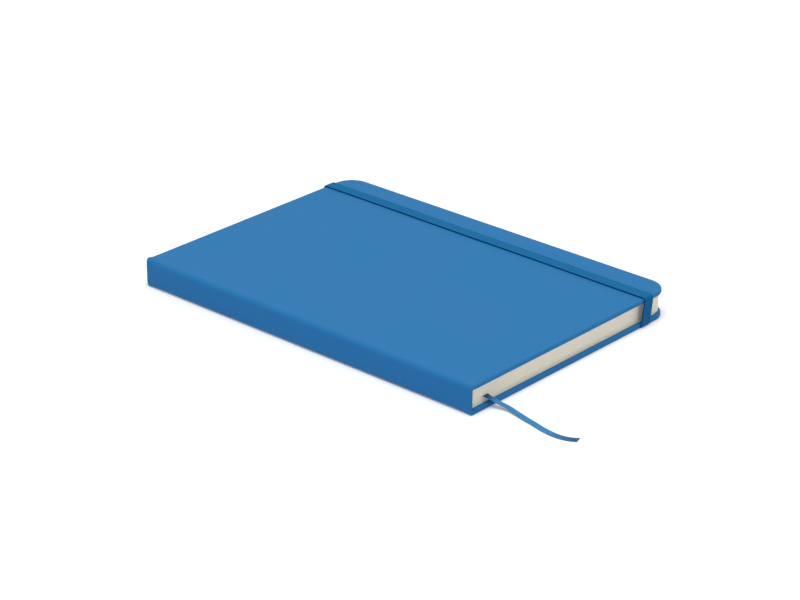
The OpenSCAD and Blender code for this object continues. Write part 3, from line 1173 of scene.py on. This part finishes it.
@dataclass
class PageBlock:
    """The pressed leaves, in two stacks that the ribbon parts."""

    sizes: Sizes
    shop: Workshop
    leaves: int = 96
    corner_r: float = 5.5
    groove: float = 0.03
    uneven: float = 0.05
    parting_up: float = 2.8
    part_depth: float = 0.18
    part_w: float = 3.0
    part_fade: float = 1.3
    ribbon_head_x: float = 4.6
    ribbon_tail_x: float = 10.7
    seed: int = 4

    def _tree(self) -> GeometryTree:
        """The rule: leaf edges stacked round a plan, with its two flat sides, parted by the ribbon.

        Returns:
            The tree.
        """
        t = GeometryTree("leaf_stack")
        leaves, thick = t.input("Leaves", "Int"), t.input("Thickness")
        groove, uneven = t.input("Groove"), t.input("Uneven")
        seed = t.input("Seed", "Int")
        parting, centre, slope = t.input("Parting height"), t.input("Ribbon middle"), t.input("Ribbon slope")
        depth, width, fade = t.input("Parting depth"), t.input("Parting width"), t.input("Parting fade")
        way = t.input("Parting way")
        plan = t.geometry()
        rise = thick / (leaves * 2.0)
        line = t.wire("GeometryNodeMeshLine", {"mode": "OFFSET", "count_mode": "TOTAL"},
                      {"Count": leaves * 2.0 + 1.0, "Offset": t.join(0.0, rise * -1.0, 0.0)})
        index = t.wire("GeometryNodeInputIndex")
        chance = t.wire("FunctionNodeRandomValue", {"data_type": "FLOAT"},
                        {"Min": 0.0, "Max": 1.0, "ID": t.math("FLOOR", (index + 1.0) / 2.0), "Seed": seed})
        valley = index % 2.0
        inside = t.math("LESS_THAN", index, leaves * 2.0) * t.math("GREATER_THAN", index, 0.5)
        inward = (groove * (1.0 - valley) + uneven * chance * valley) * inside
        line = t.move(line, Offset=t.join(inward, 0.0, 0.0))
        profile = t.wire("GeometryNodeMeshToCurve", inputs={"Mesh": line})
        wall = t.wire("GeometryNodeCurveToMesh", inputs={"Curve": t.rim(plan), "Profile Curve": profile})
        up = t.join(0.0, 0.0, thick)
        top = t.wire("GeometryNodeTransform", inputs={"Geometry": plan, "Translation": up})
        foot = t.wire("GeometryNodeFlipFaces", inputs={"Mesh": plan})
        block = t.wire("GeometryNodeJoinGeometry", inputs={"Geometry": [wall, top, foot]})
        block = t.wire("GeometryNodeMergeByDistance", inputs={"Geometry": block, "Distance": 0.000002})
        x, y, z = t.split(t.wire("GeometryNodeInputPosition"))
        aside = (x - centre - y * slope) / width
        apart = t.math("ABSOLUTE", z - parting) / fade
        push = depth * way * t.math("EXPONENT", aside * aside * -1.0) * t.math("EXPONENT", apart * -1.0)
        block = t.move(block, Offset=t.join(0.0, 0.0, push))
        t.close(block, self.shop.finishes["leaves"][0])
        return t

    def build(self) -> None:
        """Makes the two stacks from the same rule."""
        low, high = box_mm("page_block")
        parting = low.z + self.parting_up
        lower = round(self.leaves * self.parting_up / (high.z - low.z))
        tree = self._tree()
        slope = (self.ribbon_head_x - self.ribbon_tail_x) / (2 * high.y)
        middle = low.x + (self.ribbon_head_x + self.ribbon_tail_x) / 2
        stacks = (("lower_leaves", low.z, parting - 0.004, lower, -1.0),
                  ("upper_leaves", parting + 0.004, high.z, self.leaves - lower, 1.0))
        for name, bottom, top, count, way in stacks:
            plan = self._plan(name + "_plan", low, high, bottom)
            tree.run(plan, {
                "Leaves": count, "Thickness": (top - bottom) * MM, "Groove": self.groove * MM,
                "Uneven": self.uneven * MM, "Seed": self.seed, "Parting height": parting * MM,
                "Ribbon middle": middle * MM, "Ribbon slope": slope, "Parting depth": self.part_depth * MM,
                "Parting width": self.part_w * MM, "Parting fade": self.part_fade * MM, "Parting way": way,
            })
            stack = self.shop.settle(plan, name)
            stack.data.set_sharp_from_angle(angle=math.radians(25))
            self.shop.dress(stack, "leaves")
            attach(stack, "block")
            if way > 0:
                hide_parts("page_block")
            LOG.info("%s: %d leaves, %d faces", name, count, len(stack.data.polygons))

    def _plan(self, name: str, low: Vector, high: Vector, z: float) -> bpy.types.Object:
        """The leaves' plan as a flat grid at one height, close-set where the ribbon lies.

        Args:
            name: the object's name.
            low: the page block's low corner.
            high: its high corner.
            z: the plan's height.

        Returns:
            The flat grid's object.
        """
        near = [low.x + 1.0 * i for i in range(17)]
        columns = near + [12.0 * i for i in range(-4, 5)] + [56.0, high.x - self.corner_r]
        plan = Rounded(high.x, high.y, self.corner_r, columns, [y * 14.6 for y in range(-6, 7)], 12)
        shares = [(y + high.y) / (2 * high.y) for y in plan.rows]
        grid = []
        for c in range(plan.column_count()):
            x, y, _, _ = plan.edge_point(c, 0.0)
            grid.append([(x, y * (2 * share - 1), z) for share in (0.0, *shares, 1.0)])
        rows = len(grid[0])
        faces = [(c * rows + r, (c + 1) * rows + r, (c + 1) * rows + r + 1, c * rows + r + 1)
                 for c in range(len(grid) - 1) for r in range(rows - 1)]
        points = np.array([p for line in grid for p in line])
        mesh = bpy.data.meshes.new(name)
        mesh.from_pydata((points * MM).tolist(), [], faces)
        return hang(name, mesh)


@dataclass
class ElasticBand:
    """The woven elastic band: a loop round both covers and its two glued ends."""

    sizes: Sizes
    shop: Workshop
    width: float = 6.6
    thick: float = 0.8
    gap: float = 0.05
    edge_r: float = 0.8
    bed: float = 0.85
    top_x: float = 56.6
    drift: float = 0.75
    slot_x: float = 54.0
    slot_y: float = 94.0
    slot_r: float = 0.6
    tab_len: float = 12.0
    tab_z: float = 1.75
    cords: int = 11
    rib: float = 0.12

    def _tree(self) -> GeometryTree:
        """The rule: a ribbed flat section swept along a path.

        Returns:
            The tree.
        """
        t = GeometryTree("woven_strap")
        width, thick = t.input("Width"), t.input("Thickness")
        cords, rib = t.input("Cords"), t.input("Rib depth")
        flat = t.wire("GeometryNodeMeshGrid", inputs={"Size X": width, "Size Y": thick,
                                                      "Vertices X": self.cords * 6 + 1, "Vertices Y": 2})
        section = t.rim(flat)
        x, y, _ = t.split(t.wire("GeometryNodeInputPosition"))
        across = x / width
        section = t.note(section, "across", across)
        side = t.math("ABSOLUTE", across) * 2.0
        crown = (1.0 - side ** 12.0 * 0.45) ** 0.5
        ribs = 1.0 - rib * (t.math("COSINE", across * cords * math.tau) * -0.5 + 0.5)
        section = t.move(section, Position=t.join(x, y * crown * ribs, 0.0))
        path = t.note(t.geometry(), "along", t.wire("GeometryNodeSplineParameter", output="Length"))
        # steep: how steeply the path runs, which the elastic's painted shade reads
        path = t.note(path, "steep", t.math("ABSOLUTE", t.split(t.wire("GeometryNodeInputTangent"))[2]))
        path = t.wire("GeometryNodeSetCurveNormal", {"mode": "FREE"},
                      {"Curve": path, "Normal": (1.0, 0.0, 0.0)})
        strap = t.wire("GeometryNodeCurveToMesh", inputs={"Curve": path, "Profile Curve": section,
                                                          "Fill Caps": True})
        t.close(strap, self.shop.finishes["elastic"][0])
        return t

    def _arc(self, y: float, z: float, radius: float, first: float, last: float, x: float) -> list[tuple]:
        """Points of a bend seen from the side."""
        turns = [math.radians(a) for a in [first, *spread(first, last, 8)]]
        return [(x, y + radius * math.cos(a), z + radius * math.sin(a)) for a in turns]

    def _half(self, head: int) -> list[tuple]:
        """The loop from the middle of the front cover to the mouth of one slot.

        Args:
            head: 1 for the slot at the head, -1 for the one at the tail.

        Returns:
            The path's points.
        """
        s = self.sizes
        bend = self.edge_r + self.gap + self.thick / 2
        edge_y = s.half_h - self.edge_r
        end_x = self.top_x + (self.drift if head > 0 else -self.drift)
        top_z = s.top + self.gap + self.thick / 2
        run = [(self.top_x + (end_x - self.top_x) * smooth(y / edge_y) + 0.15 * math.sin(y / edge_y * 3.1),
                y, top_z) for y in spread(0, edge_y, 14)[:-1]]
        over = self._arc(edge_y, s.top - self.edge_r, bend, 90, 0, end_x)
        under = self._arc(edge_y, self.bed + self.edge_r, bend, 0, -90, self.slot_x)
        low_z = self.thick / 2
        leg = [(end_x + (self.slot_x - end_x) * p, edge_y + bend,
                s.top - self.edge_r - (s.top - self.bed - 2 * self.edge_r) * p) for p in (0.25, 0.5, 0.75)]
        flat = [(self.slot_x, y, low_z) for y in (101.0, 98.0)]
        mouth = self._arc(self.slot_y + self.slot_r, low_z + self.slot_r, self.slot_r, 270, 200, self.slot_x)
        return [(x, head * y, z) for x, y, z in run + over + leg + under + flat + mouth]

    def _tab(self, head: int) -> list[tuple]:
        """A glued end, from inside its slot to its end under the endpaper.

        Args:
            head: 1 for the slot at the head, -1 for the one at the tail.

        Returns:
            The path's points.
        """
        rise = self._arc(self.slot_y + self.slot_r, self.thick / 2 + self.slot_r, self.slot_r, 200, 180,
                         self.slot_x)
        settle = self._arc(self.slot_y - self.slot_r, self.tab_z - self.slot_r, self.slot_r, 0, 90,
                           self.slot_x)
        end = self.slot_y - self.slot_r - self.tab_len
        flat = [(self.slot_x, y, self.tab_z) for y in (self.slot_y - 4, end)]
        return [(x, head * y, z) for x, y, z in rise + settle + flat]

    def _sweep(self, tree: GeometryTree, name: str, points: list[tuple]) -> bpy.types.Object:
        """Sweeps the strap along points and returns a plain mesh piece.

        Args:
            tree: the strap's rule.
            name: the piece's name.
            points: the path.

        Returns:
            The dressed piece.
        """
        line = bpy.data.curves.new(name + "_path", "CURVE")
        line.dimensions = "3D"
        spline = line.splines.new("POLY")
        spline.points.add(len(points) - 1)
        for place, (x, y, z) in zip(spline.points, points):
            place.co = (x * MM, y * MM, z * MM, 1.0)
        path = hang(name + "_path", line)
        tree.run(path, {"Width": self.width * MM, "Thickness": self.thick * MM, "Cords": float(self.cords),
                        "Rib depth": self.rib})
        piece = self.shop.settle(path, name)
        piece.data.shade_smooth()
        piece.data.set_sharp_from_angle(angle=math.radians(70))
        return self.shop.dress(piece, "elastic")

    def build(self) -> None:
        """Makes the loop and its two glued ends."""
        tree = self._tree()
        tail = list(reversed(self._half(-1)))
        middle = [(self.top_x, 0.0, self.sizes.top + self.gap + self.thick / 2)]
        loop = self._sweep(tree, "elastic_loop", tail + middle + self._half(1))
        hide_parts("elastic_band")
        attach(loop, "band")
        self.thick / 2 * MM
        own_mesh(loop)
        LOG.info("%s: %d faces", loop.name, len(loop.data.polygons))
        for word, head in (("tail", -1), ("head", 1)):
            end = self._sweep(tree, f"elastic_end_{word}", self._tab(head))
            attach(end, "back_cover")
            LOG.info("%s: glued end", end.name)


@dataclass
class RibbonMarker:
    """The satin ribbon: glued at the head of the spine, out at the tail and along the table."""

    shop: Workshop
    width: float = 3.5
    thick: float = 0.24
    parting_up: float = 2.8
    step: float = 1.0
    cup: float = 0.07
    bead: float = 0.16
    cut: float = 1.5
    head_route: list = field(default_factory=lambda: [
        (-0.46, -20.5, 1.9, 0, 1), (-0.46, -10.5, 1.9, 0, 1), (-0.46, 0, 1.9, 0, 1),
        (-0.4, 0.3, 1.9, 0, 1), (-0.2, 0.5, 1.9, 0, 1), (0.1, 0.55, 1.9, 0, 1), (0.9, 0.45, 1.9, 0, 1),
        (1.8, 0.4, 1.9, 0, 1), (2.8, 0.45, 1.9, 0, 1), (4.6, 0.8, 1.9, -1, 1), (4.6, 1.15, 0.15, -1, 0),
        (4.6, 1.1, 0.04, -1, 0), (4.6, 0.9, 0, -1, 0), (4.6, 0.4, 0, -1, 0)])
    leaf_route: list = field(default_factory=lambda: [
        (5.3, 0.89), (6.1, 0.74), (6.9, 0.6), (7.7, 0.45), (8.5, 0.3), (9.5, 0.16), (10.3, 0.04), (10.7, 0)])
    tail_route: list = field(default_factory=lambda: [
        (11.1, -1.7, 4.8, 0), (11.9, -3.2, 3.9, 0), (12.6, -4.6, 3.2, 1), (13, -6.1, 2.7, 3),
        (13.4, -7.6, 2.2, 5), (13.8, -9.2, 1.8, 6), (14.05, -11.5, 1.3, 7), (13.65, -14.9, 0.8, 6),
        (12.95, -18.7, 0.5, 4), (12, -23.1, 0.3, 2), (11.05, -28.1, 0.2, 0), (9.75, -33.6, 0.2, 0),
        (9.1, -37.9, 0.2, 0), (8.9, -41.5, 0.2, 0), (9.2, -44.9, 0.2, 0), (10, -47.9, 0.2, 0),
        (11.2, -50.3, 0.2, 0), (12.4, -51.9, 0.2, 0)])

    def _routes(self) -> tuple[np.ndarray, np.ndarray]:
        """The route's two stretches: x, y and z of each point, then x, y and z of the way across.

        Returns:
            The stretch inside the notebook, and the free stretch from its exit.
        """
        low, high = box_mm("page_block")
        parting = low.z + self.parting_up
        held = [(low.x + x, high.y + y, parting + z, side_x, 0, side_z)
                for x, y, z, side_x, side_z in self.head_route]
        held += [(low.x + x, (share - 0.5) * (high.y - low.y), parting, -1, 0, 0)
                 for x, share in self.leaf_route]
        free = self._smoothed(np.array([(*held[-1][:3], 0.0)] + [
            (low.x + x, low.y + y, z, math.tan(math.radians(turn))) for x, y, z, turn in self.tail_route]))
        free, lean = free[:, :3], free[:, 3]
        down = np.column_stack([-lean, np.zeros_like(lean), -np.ones_like(lean)])
        across = np.cross(down, np.gradient(free, axis=0))
        across /= np.linalg.norm(across, axis=1)[:, None]
        return np.array(held), np.hstack([free, across])

    def _smoothed(self, route: np.ndarray) -> np.ndarray:
        """The route as a smooth line with a point every step, by a curve through its points.

        Args:
            route: the route, a row for each point.

        Returns:
            The line, a row for each point.
        """
        padded = np.vstack([2 * route[0] - route[1], route, 2 * route[-1] - route[-2]])
        out = []
        for a, b, c, d in zip(padded, padded[1:], padded[2:], padded[3:]):
            count = max(2, round(np.linalg.norm((c - b)[:3]) / self.step))
            for i in range(count):
                t = i / count
                out.append(0.5 * (2 * b + (c - a) * t + (2 * a - 5 * b + 4 * c - d) * t * t
                                  + (3 * b - a - 3 * c + d) * t ** 3))
        return np.array(out + [route[-1]])

    def _strip(self, name: str, line: np.ndarray, start: float, cut: float) -> bpy.types.Object:
        """Sweeps the ribbon's section along a line.

        Args:
            name: the piece's name.
            line: places and ways across.
            start: the ribbon's length before the line, for its weave.
            cut: how far one corner of the end runs past the other.

        Returns:
            The dressed piece.
        """
        half, t = self.width / 2, self.thick / 2
        low = 1.0 - self.bead
        side = [(1.0, 0.5), (0.97, 1.0), (0.9, low), (0.45, low)]
        top = [(-x, y) for x, y in side] + [(0.0, low)] + side[::-1]
        ring = top + [(x, -y) for x, y in reversed(top)]
        places, along, across, faded = [], [], [], []
        middle, sides = line[:, :3], line[:, 3:]
        gone = np.concatenate([[0.0], np.cumsum(np.linalg.norm(np.diff(middle, axis=0), axis=1))])
        for i, (place, way) in enumerate(zip(middle, sides)):
            ahead = middle[min(i + 1, len(line) - 1)] - middle[max(i - 1, 0)]
            up = np.cross(way, ahead)
            up /= np.linalg.norm(up)
            ahead /= np.linalg.norm(ahead)
            for u, v in ring:
                shift = cut * u / 2 * smooth(1 - (gone[-1] - gone[i]) / 3.0)
                rise = t * v + (self.cup * u * u if cut else 0.0)
                places.append(place + way * u * half + up * rise - ahead * shift)
                along.append((start + gone[i] - shift) * MM)
                across.append(u / 2)
                # Painted shade share: 0 between the leaves, low where the ribbon comes out and over its last
                # 18 mm, 1 in between.
                wear_and_shade = smooth((gone[i] + 1.0) / 8.0) * (1 - 0.7 * smooth((gone[i] - gone[-1] + 18.0) / 18.0))
                faded.append(wear_and_shade if cut else 0.0)
        n = len(ring)
        faces = [(a * n + j, (a + 1) * n + j, (a + 1) * n + (j + 1) % n, a * n + (j + 1) % n)
                 for a in range(len(line) - 1) for j in range(n)]
        faces += [tuple(range(n)), tuple((len(line) - 1) * n + j for j in reversed(range(n)))]
        notes = {"along": along, "across": across, "faded": faded}
        return self.shop.dress(self.shop.mesh(name, np.array(places), faces, notes), "ribbon")

    def build(self) -> None:
        """Makes the free stretch and the stretch that the notebook holds, both on the block's body."""
        held, free = self._routes()
        held_len = float(np.linalg.norm(np.diff(held[:, :3], axis=0), axis=1).sum())
        end = self._strip("ribbon_free_end", free, held_len, self.cut)
        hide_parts("ribbon_marker")
        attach(end, "block")
        self.width * MM
        inner = self._strip("ribbon_between_leaves", held, 0.0, 0.0)
        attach(inner, "block")


class Binding:
    """The frame's own inner pieces that keep their shape."""

    def __init__(self, shop: Workshop) -> None:
        """Takes the workshop that dresses them."""
        self.shop = shop

    def build(self) -> None:
        """Gives boards, card and lining their finish."""
        for node in ("front_board", "back_board", "spine_stiffener"):
            self.shop.dress(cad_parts[node], "greyboard")
        self.shop.dress(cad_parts["spine_lining"], "mull")
        LOG.info("boards, spine card and lining dressed")


@dataclass
class Studio:
    """The camera, the soft light and the white table."""

    picture_w: float = 800.0
    focal_px: float = 2571.8
    sensor: float = 36.0
    place: tuple = (-855.2, -758.7, 522.0)
    azimuth: float = -48.288
    elevation: float = 24.553
    roll: float = 0.270
    sky: float = 0.5
    key_power: float = 25.1
    key_size: float = 1.5
    key_place: tuple = (-0.36, -0.2, 2.0)
    near_glow: float = 0.12
    glow_reach: tuple = (0.2, 1.2)
    table_w: float = 8.0

    def camera(self) -> None:
        """Sets the camera at the photograph's view."""
        a, e, r = (math.radians(v) for v in (self.azimuth, self.elevation, self.roll))
        back = Vector((math.sin(a) * math.cos(e), -math.cos(a) * math.cos(e), math.sin(e)))
        right = Vector((math.cos(a), math.sin(a), 0.0))
        up = back.cross(right)
        right, up = right * math.cos(r) + up * math.sin(r), up * math.cos(r) - right * math.sin(r)
        lens = bpy.data.cameras.new("camera")
        lens.sensor_width = self.sensor
        lens.lens = self.focal_px * self.sensor / self.picture_w
        made = hang("camera", lens)
        made.matrix_world = Matrix.Translation(Vector(self.place) * MM) @ Matrix(
            (right, up, back)).transposed().to_4x4()
        bpy.context.scene.camera = made

    def light(self) -> None:
        """Adds one wide soft lamp above and a pale sky all round."""
        bpy.context.scene.view_settings.view_transform = "Standard"
        lamp = bpy.data.lights.new("key", "AREA")
        lamp.energy = self.key_power
        lamp.shape = "DISK"
        lamp.size = self.key_size
        made = hang("key", lamp)
        made.location = self.key_place
        made.rotation_euler = Vector(self.key_place).to_track_quat("Z", "Y").to_euler()
        world = bpy.data.worlds.new("sky")
        world.use_nodes = True
        bpy.context.scene.world = world
        world.node_tree.nodes.clear()
        sky = NodeMaker(world.node_tree)
        seen = self._seen(sky)
        shown = sky.wire("ShaderNodeBackground", inputs={"Color": WHITE, "Strength": 1.0})
        lit = sky.wire("ShaderNodeBackground", inputs={"Color": WHITE, "Strength": self.sky})
        both = sky.wire("ShaderNodeMixShader", inputs={0: seen, 1: lit, 2: shown})
        sky.node("ShaderNodeOutputWorld", inputs={"Surface": both})

    def _seen(self, maker: NodeMaker) -> Wire:
        """1 for the rays that show a background: straight from the camera, mirrored or through glass.

        Args:
            maker: the tree's maker.

        Returns:
            The mask.
        """
        path = maker.node("ShaderNodeLightPath")
        rays = [maker.out(path, name) for name in ("Is Camera Ray", "Is Glossy Ray", "Is Transmission Ray")]
        return maker.math("MINIMUM", rays[0] + rays[1] + rays[2], 1.0)

    def _glow(self, maker: NodeMaker) -> Wire:
        """The white that the table shows: a little by the notebook, more far away where no lamp reaches.

        Args:
            maker: the tree's maker.

        Returns:
            The strength.
        """
        x, y, _ = maker.split(maker.wire("ShaderNodeTexCoord", output="Object"))
        away = maker.math("SQRT", x * x + y * y)
        near, far = self.glow_reach
        part = maker.wire("ShaderNodeMapRange", {"interpolation_type": "SMOOTHSTEP"},
                          {"Value": away, "From Min": near, "From Max": far})
        return part * (1.0 - self.near_glow) + self.near_glow

    def table(self) -> None:
        """Adds the white table that keeps the notebook's faint shadow."""
        half = self.table_w / 2
        mesh = bpy.data.meshes.new("table")
        corners = [(-half, -half, 0), (half, -half, 0), (half, half, 0), (-half, half, 0)]
        mesh.from_pydata(corners, [], [(0, 1, 2, 3)])
        made = hang("table", mesh)
        material = bpy.data.materials.new("white_table")
        material.use_nodes = True
        material.node_tree.nodes.clear()
        p = NodeMaker(material.node_tree)
        matte = p.wire("ShaderNodeBsdfDiffuse", inputs={"Color": (0.97, 0.97, 0.97, 1)})
        glow = p.wire("ShaderNodeEmission", inputs={
            "Color": WHITE, "Strength": self._seen(p) * self._glow(p)})
        shown = p.wire("ShaderNodeAddShader", inputs={0: matte, 1: glow})
        p.node("ShaderNodeOutputMaterial", inputs={"Surface": shown})
        mesh.materials.append(material)


def main() -> None:
    """Builds the notebook and its studio in order."""
    logging.basicConfig(level=logging.INFO, format="%(name)s %(message)s")
    studio = Studio()
    studio.camera()
    shop = Workshop()
    sizes = Sizes.from_frame()
    RibbonMarker(shop).build()
    for side in Side:
        LeatherHalf(side, sizes, shop).build()
    Endpapers(sizes, shop).build()
    PageBlock(sizes, shop).build()
    ElasticBand(sizes, shop).build()
    Binding(shop).build()
    studio.light()
    studio.table()


if __name__ == "__main__":
    main()
